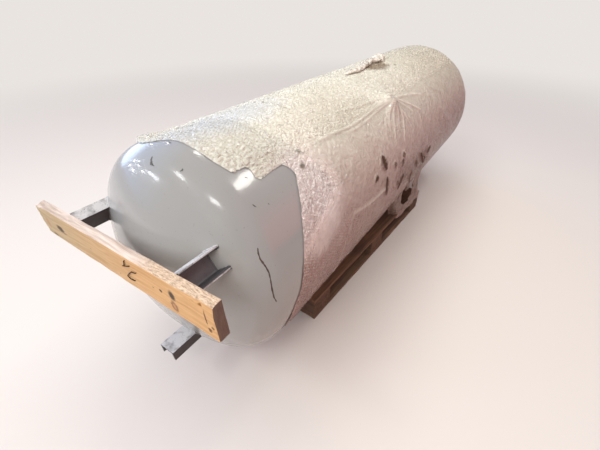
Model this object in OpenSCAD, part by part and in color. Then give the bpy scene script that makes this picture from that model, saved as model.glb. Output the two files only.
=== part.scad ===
// Horizontal pressure tank as it stands in a store: a standing vessel with dished ends,
// laid on its side on a timber pallet, wrapped in bubble film, with its three channel legs
// pointing out of the near end and a plank across two of them.
// X runs along the vessel from the leg end to the far end, Y to the left, Z up.

/* [Vessel] */
// Outside diameter of the shell
shell_d = 900; // [700:10:1100]
// Length between the two tangent lines of the heads
tangent_l = 2374; // [1700:2:2800]
// Thickness of shell and heads
wall = 6; // [4:0.5:12]
// Crown radius of a head over the shell diameter
crown_ratio = 0.8; // [0.75:0.01:0.85]
// Knuckle radius of a head over the shell diameter
knuckle_ratio = 0.154; // [0.14:0.002:0.17]
// Straight skirt of a head
skirt_l = 30; // [15:1:60]
// Turn of the vessel about its own axis as it lies
vessel_roll = -3.7; // [-10:0.1:10]

/* [Legs] */
// Depth of the leg channel over its flanges
channel_h = 80; // [60:1:120]
// Width of a channel flange
channel_b = 45; // [35:1:60]
// Thickness of the channel web
web_t = 6; // [4:0.5:9]
// Mean thickness of a channel flange
flange_t = 8; // [5:0.5:11]
// Rise of a flange's inner face over its width
flange_taper = 2; // [0:0.5:4]
// Root fillet between web and flange
root_r = 8; // [2:0.5:10]
// Toe rounding of a flange
toe_r = 4; // [1:0.5:4]
// Distance of the back of the web from the vessel's axis
leg_r = 327; // [260:1:360]
// Reach of the leg ends past the tangent line
leg_reach = 265; // [240:1:420]
// Gap left for the weld round a leg
weld_gap = 0.3; // [0.1:0.1:1]

/* [Socket] */
// Distance of the pipe socket from the near tangent line
socket_x = 1110; // [700:5:1600]
// Angle of the socket round the vessel, before the roll
socket_angle = 132; // [100:1:150]
// Outside diameter of the socket
socket_d = 48; // [30:1:70]
// Stand-out of the socket from the shell
socket_out = 27; // [20:1:60]
// Flats across the socket's plug
plug_af = 30; // [16:1:30]
// Height of the plug's head
plug_h = 8; // [5:1:15]

/* [Plank] */
// Length of the plank across the legs
plank_l = 975; // [850:1:1100]
// Width of the plank
plank_w = 125; // [100:1:150]
// Thickness of the plank
plank_t = 36; // [25:1:50]
// Offset of the plank's middle to the left
plank_y = 34; // [-40:1:60]
// Height of the plank's middle over the vessel's axis
plank_z = 152; // [120:1:180]
// Slope of the plank, down towards the left
plank_slope = -3.4; // [-6:0.1:4]

/* [Wrap] */
// Thickness of the bubble film as it lies on the vessel
wrap_t = 11; // [5:0.5:20]
// Thickness of the film where the vessel presses it on the pallet
wrap_pressed = 2; // [1:0.5:4]
// Clearance between the film and the steel
wrap_gap = 0.3; // [0.2:0.1:1]
// Start of the wrap along the bare right flank
wrap_bare_x = 130; // [60:5:300]
// Angle at which the bare flank starts
wrap_bare_from = 121; // [110:1:135]
// Angle at which the bare flank ends
wrap_bare_to = 188; // [170:1:200]
// Length of shell that the far end's film covers
wrap_lap = 120; // [40:5:300]
// Foot radius of the tent over the socket
tent_r = 95; // [70:1:130]

/* [Pallet] */
// Length of the pallet along the vessel
pallet_l = 1400; // [1200:5:1600]
// Width of the pallet
pallet_w = 800; // [700:5:1000]
// Thickness of the boards
board_t = 22; // [16:1:28]
// Width of a wide board
board_wide = 145; // [120:1:160]
// Width of a narrow board
board_narrow = 100; // [80:1:120]
// Height of the blocks
block_h = 78; // [70:1:100]
// Distance of the pallet's middle from the near tangent line
pallet_x = 1090; // [1000:5:1300]
// Offset of the pallet's middle to the left
pallet_y = 40; // [-40:1:60]
// Turn of the pallet in plan
pallet_yaw = -3; // [-5:0.1:5]

/* [Hidden] */
shell_r = shell_d / 2;
crown_r = crown_ratio * shell_d;
knuckle_r = knuckle_ratio * shell_d;
// Height of a head over its tangent line
crown_drop = sqrt(pow(crown_r - knuckle_r, 2) - pow(shell_r - knuckle_r, 2));
head_h = crown_r - crown_drop;
pallet_h = 3 * board_t + block_h;
axis_z = pallet_h + wrap_pressed + shell_r;
// The origin lies under the middle of the whole
x_low = -leg_reach - plank_t;
x_high = tangent_l + head_h + wrap_gap + wrap_t;
half_plank_y = (plank_l * cos(plank_slope) + plank_w * abs(sin(plank_slope))) / 2;
wrap_r = shell_r + wrap_gap + wrap_t;
half_pallet_y = (pallet_w * cos(pallet_yaw) + pallet_l * abs(sin(pallet_yaw))) / 2;
y_low = min(plank_y - half_plank_y, -wrap_r, pallet_y - half_pallet_y);
y_high = max(plank_y + half_plank_y, wrap_r, pallet_y + half_pallet_y);
shift = [-(x_low + x_high) / 2, -(y_low + y_high) / 2, 0];
// Places of the pallet's blocks and boards from its own middle
block_xs = [-(pallet_l - board_wide) / 2, 0, (pallet_l - board_wide) / 2];
side_y = (pallet_w - board_narrow) / 2;
deck_widths = [board_wide, board_narrow, board_wide, board_narrow, board_wide];
deck_gap = (pallet_w - 3 * board_wide - 2 * board_narrow) / 4;
deck_ys = [-(pallet_w - board_wide) / 2, -(board_wide + board_narrow) / 2 - deck_gap, 0,
    (board_wide + board_narrow) / 2 + deck_gap, (pallet_w - board_wide) / 2];
// Directions that bound the bare flank, as seen along the vessel
bare_middle = (wrap_bare_from + wrap_bare_to) / 2;
function ray(angle) = 2 * shell_r * [cos(angle), sin(angle)];
smooth = 180;

// Puts a solid from the vessel's frame (axis on X, near tangent line at 0) in the part's frame
module place() {
    translate(shift + [0, 0, axis_z]) children();
}

// The same, turned with the vessel about its axis
module place_rolled() {
    place() rotate([vessel_roll, 0, 0]) children();
}

// Half outline of a dished head grown by g, with its axis on the second axis
module head_outline(g, skirt) {
    translate([0, -crown_drop]) intersection() {
        circle(crown_r + g, $fn = smooth);
        polygon([[0, 0], [2 * (shell_r - knuckle_r), 2 * crown_drop], [0, 2 * crown_r + 2 * g]]);
        translate([0, crown_drop]) square(2 * crown_r);
    }
    translate([shell_r - knuckle_r, 0]) intersection() {
        circle(knuckle_r + g, $fn = smooth);
        square(2 * knuckle_r);
    }
    translate([0, -skirt]) square([shell_r + g, skirt]);
}

// Solid of a head turned to point along -X, its tangent line at x = 0
module head_form(g, skirt) {
    rotate([0, -90, 0]) rotate_extrude($fn = smooth) head_outline(g, skirt);
}

module head_shell() {
    rotate([0, -90, 0]) rotate_extrude($fn = smooth) difference() {
        head_outline(0, skirt_l);
        translate([0, -1]) square([shell_r - knuckle_r, 1]);
        head_outline(-wall, skirt_l + 1);
    }
}

module tube_x(x0, x1, r_out, r_in) {
    translate([x0, 0, 0]) rotate([0, 90, 0]) difference() {
        cylinder(h = x1 - x0, r = r_out, $fn = smooth);
        translate([0, 0, -1]) cylinder(h = x1 - x0 + 2, r = r_in, $fn = smooth);
    }
}

// A radial pin of radius r from distance r0 to r1, at the socket
module at_socket() {
    translate([socket_x, 0, 0]) rotate([socket_angle - 90, 0, 0]) children();
}

module shell() {
    color("silver") place_rolled() difference() {
        tube_x(skirt_l, tangent_l - skirt_l, shell_r, shell_r - wall);
        at_socket() translate([0, 0, shell_r - 2 * wall - 20])
            cylinder(h = 100, d = socket_d + 2 * weld_gap, $fn = 64);
    }
}

module near_head() {
    color("silver") place_rolled() head_shell();
}

module far_head() {
    color("silver") place_rolled() translate([tangent_l, 0, 0]) mirror([1, 0, 0]) head_shell();
}

// Rolled channel section: back of the web on the first axis, flanges along the second
module channel_section() {
    inner = channel_h / 2 - flange_t;
    toe_x = inner + flange_taper / 2 - flange_taper * (toe_r + 1) / (channel_b + 1 - web_t);
    difference() {
        translate([-channel_h / 2, 0]) square([channel_h, channel_b]);
        polygon([[-inner + flange_taper / 2, web_t], [inner - flange_taper / 2, web_t],
            [inner + flange_taper / 2, channel_b + 1], [-inner - flange_taper / 2, channel_b + 1]]);
        for (side = [-1, 1]) scale([side, 1]) translate([toe_x, channel_b - toe_r])
            difference() {
                translate([-1, 0]) square([toe_r + 1, toe_r + 1]);
                translate([toe_r, 0]) circle(toe_r, $fn = 48);
            }
    }
    for (side = [-1, 1]) scale([side, 1]) translate([inner - flange_taper / 2, web_t])
        difference() {
            translate([-root_r, -1]) square([root_r + 1, root_r + 1]);
            translate([-root_r, root_r]) circle(root_r, $fn = 48);
        }
}

// One leg: a channel with its web towards the axis, cut to the head where it is welded on
module leg(angle) {
    color("gray") place_rolled() difference() {
        rotate([angle - 90, 0, 0]) translate([-leg_reach, 0, leg_r]) rotate([90, 0, 90])
            linear_extrude(leg_reach) channel_section();
        head_form(weld_gap, skirt_l);
    }
}

module leg_right() { leg(150); }
module leg_bottom() { leg(270); }
module leg_left() { leg(30); }

// Pipe socket let into the shell, closed by its transit plug
module socket() {
    color("silver") place_rolled() at_socket() {
        translate([0, 0, shell_r - 2 * wall]) cylinder(h = socket_out + 2 * wall, d = socket_d, $fn = 64);
        translate([0, 0, shell_r + socket_out])
            cylinder(h = plug_h, d = plug_af / cos(30), $fn = 6);
    }
}

module plank() {
    color("burlywood") place() translate([-leg_reach - plank_t, plank_y, plank_z])
        rotate([plank_slope, 0, 0]) translate([0, -plank_l / 2, -plank_w / 2])
            cube([plank_t, plank_l, plank_w]);
}

// Bubble film round the shell: pressed flat on the pallet, tented over the socket
module wrap_sleeve() {
    hood = socket_out + plug_h + wrap_gap;
    color("ivory") place() difference() {
        union() {
            tube_x(0, tangent_l - wrap_lap, wrap_r, shell_r + wrap_gap);
            rotate([vessel_roll, 0, 0]) at_socket() translate([0, 0, shell_r - wall])
                cylinder(h = hood + wall + wrap_t, r1 = tent_r, r2 = socket_d / 2 + 4, $fn = 64);
        }
        rotate([0, 90, 0]) translate([0, 0, -1])
            cylinder(h = tangent_l + 2, r = shell_r + wrap_gap, $fn = smooth);
        rotate([vessel_roll, 0, 0]) at_socket() translate([0, 0, shell_r - wall])
            cylinder(h = hood + wall, d = socket_d + 2 * wrap_gap, $fn = 64);
        translate([pallet_x, pallet_y, -axis_z]) rotate([0, 0, pallet_yaw])
            translate([-pallet_l / 2, -pallet_w / 2, 0]) cube([pallet_l, pallet_w, pallet_h]);
        translate([-1, 0, 0]) rotate([90, 0, 90]) linear_extrude(wrap_bare_x + 1)
            polygon([[0, 0], ray(wrap_bare_from), 1.5 * ray(bare_middle), ray(wrap_bare_to)]);
    }
}

// Bubble film and stretch film folded over the far head
module wrap_far_end() {
    color("ivory") place() translate([tangent_l, 0, 0]) mirror([1, 0, 0]) rotate([0, -90, 0])
        rotate_extrude($fn = smooth) difference() {
            head_outline(wrap_gap + wrap_t, wrap_lap);
            head_outline(wrap_gap, wrap_lap + 1);
        }
}

// Puts a board or block in the pallet's frame: middle at x, y and underside at z
module pallet_piece(x, y, z, size) {
    color("tan") translate(shift + [pallet_x, pallet_y, 0]) rotate([0, 0, pallet_yaw])
        translate([x - size.x / 2, y - size.y / 2, z]) cube(size);
}

module deck_board(i) {
    pallet_piece(0, deck_ys[i], pallet_h - board_t, [pallet_l, deck_widths[i], board_t]);
}

module cross_board(i) {
    pallet_piece(block_xs[i], 0, pallet_h - 2 * board_t, [board_wide, pallet_w, board_t]);
}

module block(i, side) {
    pallet_piece(block_xs[i], side * side_y, board_t,
        [board_wide, side == 0 ? board_wide : board_narrow, block_h]);
}

module bottom_board(side) {
    pallet_piece(0, side * side_y, 0, [pallet_l, side == 0 ? board_wide : board_narrow, board_t]);
}

shell();
near_head();
far_head();
leg_right();
leg_bottom();
leg_left();
socket();
plank();
wrap_sleeve();
wrap_far_end();
deck_board(0);  // deck_board_1
deck_board(1);  // deck_board_2
deck_board(2);  // deck_board_3
deck_board(3);  // deck_board_4
deck_board(4);  // deck_board_5
cross_board(0);  // cross_board_near
cross_board(1);  // cross_board_middle
cross_board(2);  // cross_board_far
block(0, -1);  // block_near_right
block(0, 0);  // block_near_middle
block(0, 1);  // block_near_left
block(1, -1);  // block_middle_right
block(1, 0);  // block_middle_middle
block(1, 1);  // block_middle_left
block(2, -1);  // block_far_right
block(2, 0);  // block_far_middle
block(2, 1);  // block_far_left
bottom_board(-1);  // bottom_board_right
bottom_board(0);  // bottom_board_middle
bottom_board(1);  // bottom_board_left
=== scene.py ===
"""Looks of a pressure vessel laid on a pallet in bubble film, with a plank over its legs."""

import math

import bmesh
import bpy
import numpy as np
from mathutils import Matrix, Vector


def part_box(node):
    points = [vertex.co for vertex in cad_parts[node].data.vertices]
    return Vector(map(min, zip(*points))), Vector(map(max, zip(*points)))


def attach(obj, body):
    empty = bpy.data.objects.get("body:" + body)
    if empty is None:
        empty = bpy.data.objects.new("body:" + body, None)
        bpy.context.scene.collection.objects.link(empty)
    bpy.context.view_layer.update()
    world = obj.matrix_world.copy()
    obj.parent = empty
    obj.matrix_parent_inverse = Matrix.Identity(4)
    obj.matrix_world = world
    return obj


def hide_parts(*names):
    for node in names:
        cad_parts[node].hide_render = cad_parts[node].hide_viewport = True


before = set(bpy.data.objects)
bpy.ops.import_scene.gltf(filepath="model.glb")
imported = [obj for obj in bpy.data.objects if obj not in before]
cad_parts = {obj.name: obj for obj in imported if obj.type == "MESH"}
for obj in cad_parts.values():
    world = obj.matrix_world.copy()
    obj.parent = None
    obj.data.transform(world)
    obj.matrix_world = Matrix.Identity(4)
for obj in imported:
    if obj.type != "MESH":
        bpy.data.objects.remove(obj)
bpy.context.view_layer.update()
scene = bpy.context.scene

# ---- Camera ----
# The vessel's own frame is used all through: X along its axis from the near tangent line, Y to
# the left, Z up. The camera stands where the photographer stood, beside the leg end.
skirt = 0.030
head_low, head_high = (Vector(corner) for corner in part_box("near_head"))
shell_low, shell_high = (Vector(corner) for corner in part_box("shell"))
tangent_x = shell_low.x - skirt
axis_y = (head_low.y + head_high.y) / 2
axis_z = (head_low.z + head_high.z) / 2
axis = Vector((tangent_x, axis_y, axis_z))
eye = axis + Vector((-0.591, -0.907, 0.847))
pitch_down = math.radians(36.08)
turn_left = math.radians(34.97)
camera_roll = math.radians(0.49)
camera = bpy.data.objects.new("camera", bpy.data.cameras.new("camera"))
camera.data.sensor_width = 36.0
camera.data.lens = 19.70
camera.matrix_world = (
    Matrix.Translation(eye)
    @ Matrix.Rotation(turn_left - math.pi / 2, 4, "Z")
    @ Matrix.Rotation(math.pi / 2 - pitch_down, 4, "X")
    @ Matrix.Rotation(-camera_roll, 4, "Z")
)
scene.collection.objects.link(camera)
scene.camera = camera

# ---- Vessel skin ----
# Straight shell and two dished heads of 6 mm steel plate, rolled, pressed and butt welded, the
# seams ground flush. It is sprayed with light grey machine enamel, which the near head shows
# with a film of dust, rubber scuffs and one long scratch on the right flank. Painted shade
# darkens what faces up, and a painted pinkish shade and floor reflection lie low on the right.
shell_r = round((head_high.y - head_low.y) / 2, 3)
shell_l = shell_high.x + skirt - tangent_x
crown_share, knuckle_share = 1.6, 0.308  # of the shell's radius, as such heads are pressed
crown_r, knuckle_r = crown_share * shell_r, knuckle_share * shell_r
crown_drop = math.sqrt((crown_r - knuckle_r) ** 2 - (shell_r - knuckle_r) ** 2)
knuckle_turn = math.asin(crown_drop / (crown_r - knuckle_r))
knuckle_run = knuckle_r * knuckle_turn
head_run = knuckle_run + crown_r * (math.pi / 2 - knuckle_turn)


def meridian(run):
    """Follows the vessel's outline from the near tangent line, below 0 over the near head and
    past the shell over the far one: x, radius and the two parts of the outward direction."""
    run = np.asarray(run, float)
    over = np.where(run < 0, -run, np.maximum(run - shell_l, 0.0))
    crown = over > knuckle_run
    bend = np.where(crown, knuckle_turn + (over - knuckle_run) / crown_r, over / knuckle_r)
    out = np.where(crown, crown_r * np.sin(bend) - crown_drop, knuckle_r * np.sin(bend))
    radius = np.where(
        crown, crown_r * np.cos(bend), shell_r - knuckle_r + knuckle_r * np.cos(bend)
    )
    x = np.where(run < 0, -out, np.where(run > shell_l, shell_l + out, run))
    return x, radius, np.where(run < 0, -1, 1) * np.sin(bend), np.cos(bend)


def on_vessel(run, turn, lift=0.0):
    """Points of the part's frame at a run along the outline, at a turn in degrees from the left
    side upwards, and lift metres off the steel."""
    x, radius, lean, outward = meridian(run)
    radius = radius + outward * lift
    angle = np.radians(turn)
    parts = (
        tangent_x + x + lean * lift,
        axis_y + radius * np.cos(angle),
        axis_z + radius * np.sin(angle),
    )
    return np.stack(np.broadcast_arrays(*parts), axis=-1)


def facing(run, turn):
    """The outward direction of the vessel's skin at a run and turn."""
    lean, outward = meridian(run)[2:]
    angle = np.radians(turn)
    return np.stack(
        np.broadcast_arrays(lean, outward * np.cos(angle), outward * np.sin(angle)), axis=-1
    )


def linear(code):
    """Turns an sRGB hex colour into the linear colour that a node takes."""
    parts = [int(code[i : i + 2], 16) / 255 for i in (1, 3, 5)]
    return [c / 12.92 if c <= 0.04045 else ((c + 0.055) / 1.055) ** 2.4 for c in parts] + [1.0]


def add(tree, kind, links=None, **settings):
    """Adds a node with its settings, and gives the first output that they bring into use. links
    holds its inputs by name or number, each a value or another node's output. A mix takes its
    share at 0, and its two colours at 6 and 7 or its two vectors at 4 and 5."""
    made = tree.nodes.new(kind)
    for name, value in settings.items():
        setattr(made, name, value)
    for socket, value in (links or {}).items():
        if isinstance(value, bpy.types.NodeSocket):
            tree.links.new(value, made.inputs[socket])
        else:
            made.inputs[socket].default_value = value
    return next((output for output in made.outputs if output.enabled), None)


def start_finish(name, **constant):
    """Starts a material: the material, its tree, its shader and the object's coordinates."""
    made = bpy.data.materials.new(name)
    made.use_nodes = True
    tree = made.node_tree
    shader = tree.nodes["Principled BSDF"]
    for socket, value in constant.items():
        shader.inputs[socket.replace("_", " ")].default_value = value
    return made, tree, shader, add(tree, "ShaderNodeTexCoord").node.outputs["Object"]


def lay_on(shader, **looks):
    """Joins a finish's colour, gloss, relief or cover to its shader."""
    for socket, value in looks.items():
        shader.id_data.links.new(value, shader.inputs[socket.replace("_", " ")])


def mesh_piece(name, points, faces, material):
    """Makes an object of points and faces, with its place in its mesh, in one material."""
    mesh = bpy.data.meshes.new(name)
    mesh.from_pydata([tuple(p) for p in points], [], faces)
    mesh.materials.append(material)
    mesh.polygons.foreach_set("use_smooth", [True] * len(mesh.polygons))
    mesh.update()
    piece = bpy.data.objects.new(name, mesh)
    scene.collection.objects.link(piece)
    return piece


def grid_faces(rows, columns, around=False, keep=None):
    """Quads of a grid of points, rows by columns, that face outwards on the vessel."""
    last = columns if around else columns - 1
    return [
        (i * columns + j, i * columns + (j + 1) % columns,
         (i + 1) * columns + (j + 1) % columns, (i + 1) * columns + j)
        for i in range(rows - 1)
        for j in range(last)
        if keep is None or keep[i][j]
    ]


def close_doubles(piece, gap=1e-6):
    """Merges the points that lie together, as at a pole, and turns the faces outwards."""
    made = bmesh.new()
    made.from_mesh(piece.data)
    bmesh.ops.remove_doubles(made, verts=made.verts, dist=gap)
    bmesh.ops.recalc_face_normals(made, faces=made.faces)
    made.to_mesh(piece.data)
    made.free()
    return piece


def store(piece, name, values):
    """Keeps a value for each point of a piece, such as how much a film hides there."""
    attribute = piece.data.attributes.new(name, "FLOAT", "POINT")
    attribute.data.foreach_set("value", np.asarray(values, np.float32).ravel())


def settle(piece, slot, *nodes):
    """Fixes a finished piece to the part, and hides the nodes it stands for. Its slot is not used.
    """
    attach(piece, "root")
    if nodes:
        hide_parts(*nodes)
    return piece


# Machine enamel, two coats sprayed on primed steel: an even light grey with a clear gloss, dulled
# by dust and painted shade on what faces up, by a painted pinkish shade and floor reflection low
# on the right side, and by dark specks.
enamel, tree, shader, place = start_finish(
    "grey_machine_enamel", Coat_Weight=0.5, Coat_Roughness=0.06, Coat_IOR=1.5
)
cloud = add(tree, "ShaderNodeTexNoise", {"Vector": place, "Scale": 2.3, "Detail": 3.0})
speck = add(tree, "ShaderNodeTexNoise", {"Vector": place, "Scale": 85.0, "Detail": 2.0})
normal = add(tree, "ShaderNodeNewGeometry").node.outputs["Normal"]
_, leftward, upward = add(tree, "ShaderNodeSeparateXYZ", {0: normal}).node.outputs
dusty, rightward, downward, specked, gloss = (
    add(
        tree,
        "ShaderNodeMapRange",
        {"Value": value, "From Min": low, "From Max": high, "To Min": least, "To Max": most},
    )
    for value, low, high, least, most in (
        (upward, 0.1, 0.9, 0.0, 0.9),
        (leftward, -0.2, -0.7, 0.0, 1.0),
        (upward, 0.35, -0.45, 0.0, 0.75),
        (speck, 0.68, 0.74, 0.0, 0.35),
        (cloud, 0.0, 1.0, 0.15, 0.28),
    )
)
# Dust and painted shade on what faces up; painted shade and floor reflection low on the right.
dust_and_shade = add(tree, "ShaderNodeMath", {0: dusty, 1: cloud}, operation="MULTIPLY")
low_right_shade = add(tree, "ShaderNodeMath", {0: downward, 1: rightward}, operation="MULTIPLY")
tone = add(
    tree, "ShaderNodeMix", {0: cloud, 6: linear("#A5A5A4"), 7: linear("#B1B1AF")}, data_type="RGBA"
)
for share, colour in ((low_right_shade, "#8D7974"), (dust_and_shade, "#858380"), (specked, "#8E8A84")):
    tone = add(tree, "ShaderNodeMix", {0: share, 6: tone, 7: linear(colour)}, data_type="RGBA")
lay_on(shader, Base_Color=tone, Roughness=gloss)

skin_runs = np.concatenate(
    [
        np.linspace(-head_run, -knuckle_run, 34),
        np.linspace(-knuckle_run, 0.0, 20)[1:],
        np.linspace(0.0, shell_l, 7)[1:],
        np.linspace(shell_l, shell_l + knuckle_run, 14)[1:],
        np.linspace(shell_l + knuckle_run, shell_l + head_run, 18)[1:],
    ]
)
skin_turns = np.arange(0.0, 360.0, 1.875)
vessel_skin = mesh_piece(
    "vessel_skin",
    on_vessel(skin_runs[:, None], skin_turns[None, :]).reshape(-1, 3),
    grid_faces(len(skin_runs), len(skin_turns), around=True),
    enamel,
)
settle(close_doubles(vessel_skin), "vessel_paint", "shell", "near_head", "far_head")


def mottled(name, scale, dark, pale, **constant):
    """A plain finish that wanders between two tones."""
    made, tree, shader, place = start_finish(name, **constant)
    grain = add(tree, "ShaderNodeTexNoise", {"Vector": place, "Scale": scale})
    tone = add(
        tree, "ShaderNodeMix", {0: grain, 6: linear(dark), 7: linear(pale)}, data_type="RGBA"
    )
    lay_on(shader, Base_Color=tone)
    return made


# Rubber and steel rub marks: dark matt streaks, drawn as thin flecks that lie on the enamel.
rub = mottled("black_rub_mark", 140.0, "#4A4745", "#6E6B68", Roughness=0.75)
rust_line = mottled("scratch_to_primer", 60.0, "#453A37", "#6B5A54", Roughness=0.8)
fleck_t = 0.0003


def fleck(name, path, widths, material, lift=lambda run, turn: fleck_t, slot="vessel_paint"):
    """Lays a thin mark along a path of runs and turns, with a width at each, at the height off
    the steel that lift gives for a run and turn. Its attribute cover fades to its edges."""
    runs, turns = (np.array(column, float) for column in zip(*path))
    steps = np.linspace(0, len(path) - 1, 8 * len(path))
    run = np.interp(steps, range(len(path)), runs)
    turn = np.interp(steps, range(len(path)), turns)
    heading = np.arctan2(np.gradient(np.radians(turn) * shell_r), np.gradient(run))
    width = np.interp(steps, np.linspace(0, len(path) - 1, len(widths)), widths) / 2
    width = width * (1 + 0.35 * np.sin(steps * 5.1) * np.sin(steps * 2.3 + 1))
    fade = np.minimum(1, 0.2 + 4 * np.sin(np.pi * steps / steps[-1]))
    points, cover = [], []
    for side in (-1.0, -0.6, 0.0, 0.6, 1.0):
        sideways = side * width
        beside = run - np.sin(heading) * sideways
        around = turn + np.degrees(np.cos(heading) * sideways / shell_r)
        height = lift(beside, around) + fleck_t * (1 - side**2)
        points.append(on_vessel(beside, around, height))
        cover.append((1 - abs(side) ** 3) * fade)
    made = mesh_piece(name, np.concatenate(points), grid_faces(5, len(steps)), material)
    store(made, "cover", np.concatenate(cover))
    return settle(close_doubles(made), slot)


fleck(
    "scratch_right_flank",
    [(-0.055, 149.4), (-0.061, 151.3), (-0.064, 153.9), (-0.061, 156.0), (-0.058, 158.1),
     (-0.056, 161.2), (-0.059, 164.4), (-0.063, 168.8), (-0.063, 173.3), (-0.057, 176.4)],
    [0.002, 0.005, 0.004, 0.0055, 0.005, 0.004, 0.0045, 0.0045, 0.005, 0.003],
    rust_line,
)
rub_marks = [
    ([(-0.083, 89.6), (-0.092, 89.9), (-0.101, 90.9), (-0.110, 91.3)],
     [0.003, 0.007, 0.009, 0.003]),
    ([(-0.102, 90.6), (-0.106, 92.0), (-0.108, 93.6)], [0.006, 0.007, 0.002]),
    ([(-0.070, 106.4), (-0.075, 106.7), (-0.081, 106.3)], [0.002, 0.006, 0.003]),
    ([(-0.010, 89.3), (-0.012, 91.2)], [0.004, 0.003]),
    ([(0.007, 134.6), (0.010, 135.6), (0.013, 136.2)], [0.002, 0.005, 0.002]),
    ([(0.058, 137.7), (0.061, 138.3)], [0.003, 0.002]),
    ([(0.052, 124.0), (0.058, 125.0)], [0.002, 0.002]),
]
for number, (path, widths) in enumerate(rub_marks, 1):
    fleck(f"rub_mark_{number}", path, widths, rub)

# ---- Legs ----
# Three lengths of hot-rolled 80 mm channel, sawn off square and fillet welded to the near head
# with their webs inwards. They are sprayed with the vessel and dusty, and the flanges' inner faces
# are painted dark as shade.
channel_h, channel_b, web_t, flange_t, web_back = 0.080, 0.045, 0.006, 0.008, 0.327
leg_turns = {"leg_right": 146.3, "leg_bottom": 266.3, "leg_left": 26.3}


def leg_finish(name, turn):
    """Thin dark sprayed coat with steel showing through in patches 20 to 60 mm wide, brown on the
    outer faces and thickly dusted pale on those that face up. The flanges' inner faces are painted
    dark as shade."""
    made, tree, shader, place = start_finish(name)
    patch = add(tree, "ShaderNodeTexNoise", {"Vector": place, "Scale": 26.0, "Detail": 5.0})
    grit = add(tree, "ShaderNodeTexNoise", {"Vector": place, "Scale": 190.0, "Detail": 3.0})
    from_axis = add(tree, "ShaderNodeVectorMath", {0: place, 1: tuple(axis)}, operation="SUBTRACT")
    angle = math.radians(turn)
    sideways, outward = (
        add(tree, "ShaderNodeVectorMath", {0: from_axis, 1: way}, operation="DOT_PRODUCT")
        for way in ((0, -math.sin(angle), math.cos(angle)), (0, math.cos(angle), math.sin(angle)))
    )
    apart = add(tree, "ShaderNodeMath", {0: sideways}, operation="ABSOLUTE")
    normal = add(tree, "ShaderNodeNewGeometry").node.outputs["Normal"]
    upward = add(tree, "ShaderNodeSeparateXYZ", {0: normal}).node.outputs[2]
    half, inside = channel_h / 2, channel_h / 2 - flange_t
    inner_shade, outside, on_web, skyward, uneven, chipped, gloss = (
        add(
            tree,
            "ShaderNodeMapRange",
            {"Value": value, "From Min": low, "From Max": high, "To Min": least, "To Max": most},
        )
        for value, low, high, least, most in (
            (apart, inside - 0.004, inside - 0.001, 0.0, 0.75),
            (apart, half - 0.0045, half - 0.0030, 0.0, 1.0),
            (outward, web_back + 0.002, web_back + 0.001, 0.0, 1.0),
            (upward, 0.2, 0.6, 0.0, 1.0),
            (patch, 0.30, 0.48, 0.35, 0.95),
            (grit, 0.62, 0.70, 0.0, 0.7),
            (patch, 0.0, 1.0, 0.3, 0.7),
        )
    )
    open_side = add(tree, "ShaderNodeMath", {0: outside, 1: on_web}, operation="MAXIMUM")
    browned = add(tree, "ShaderNodeMath", {0: open_side, 1: 0.75}, operation="MULTIPLY")
    dusty = add(tree, "ShaderNodeMath", {0: open_side, 1: skyward}, operation="MULTIPLY")
    dusty = add(tree, "ShaderNodeMath", {0: dusty, 1: uneven}, operation="MULTIPLY")
    tone = add(
        tree, "ShaderNodeMix", {0: patch, 6: linear("#575558"), 7: linear("#807E82")},
        data_type="RGBA",
    )
    # Painted shade on the flanges' inner faces first, then brown outer faces, pale dust and chips.
    for share, colour in (
        (inner_shade, "#3C3A3E"), (browned, "#453836"), (dusty, "#D3D1D2"), (chipped, "#5B5654")
    ):
        tone = add(tree, "ShaderNodeMix", {0: share, 6: tone, 7: linear(colour)}, data_type="RGBA")
    relief = add(tree, "ShaderNodeBump", {"Height": grit, "Strength": 0.5, "Distance": 0.0006})
    lay_on(shader, Base_Color=tone, Roughness=gloss, Normal=relief)
    return made


def repaint(node, material):
    """Gives a solid of the part its finish."""
    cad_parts[node].data.materials.clear()
    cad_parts[node].data.materials.append(material)


leg_paints = {}
for name, turn in leg_turns.items():
    leg_paints[name] = leg_finish(f"thin_grey_enamel_{name}", turn)
    repaint(name, leg_paints[name])


def head_depth(radius):
    """How far the near head stands out of its tangent line at a distance from the axis."""
    if radius < crown_r * math.cos(knuckle_turn):
        return math.sqrt(crown_r**2 - radius**2) - crown_drop
    return math.sqrt(max(0.0, knuckle_r**2 - (radius - shell_r + knuckle_r) ** 2))


def tube_points(path, radii, sides, closed=False):
    """Rings of points round a path, and the quads that join them."""
    path = [Vector(p) for p in path]
    points, count = [], len(path)
    normal = Vector((0.31, 0.17, 0.93)).normalized()
    for i, here in enumerate(path):
        after = path[(i + 1) % count] if closed or i + 1 < count else here
        before = path[i - 1] if closed or i else here
        along = (after - before).normalized()
        normal = (normal - along * normal.dot(along)).normalized()
        side = along.cross(normal)
        for k in range(sides):
            angle = 2 * math.pi * k / sides
            points.append(here + (normal * math.cos(angle) + side * math.sin(angle)) * radii[i])
    faces = [
        (i * sides + k, i * sides + (k + 1) % sides,
         (i + 1) % count * sides + (k + 1) % sides, (i + 1) % count * sides + k)
        for i in range(count if closed else count - 1)
        for k in range(sides)
    ]
    if not closed:
        faces += [tuple(range(sides))[::-1], tuple((count - 1) * sides + k for k in range(sides))]
    return points, faces


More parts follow.
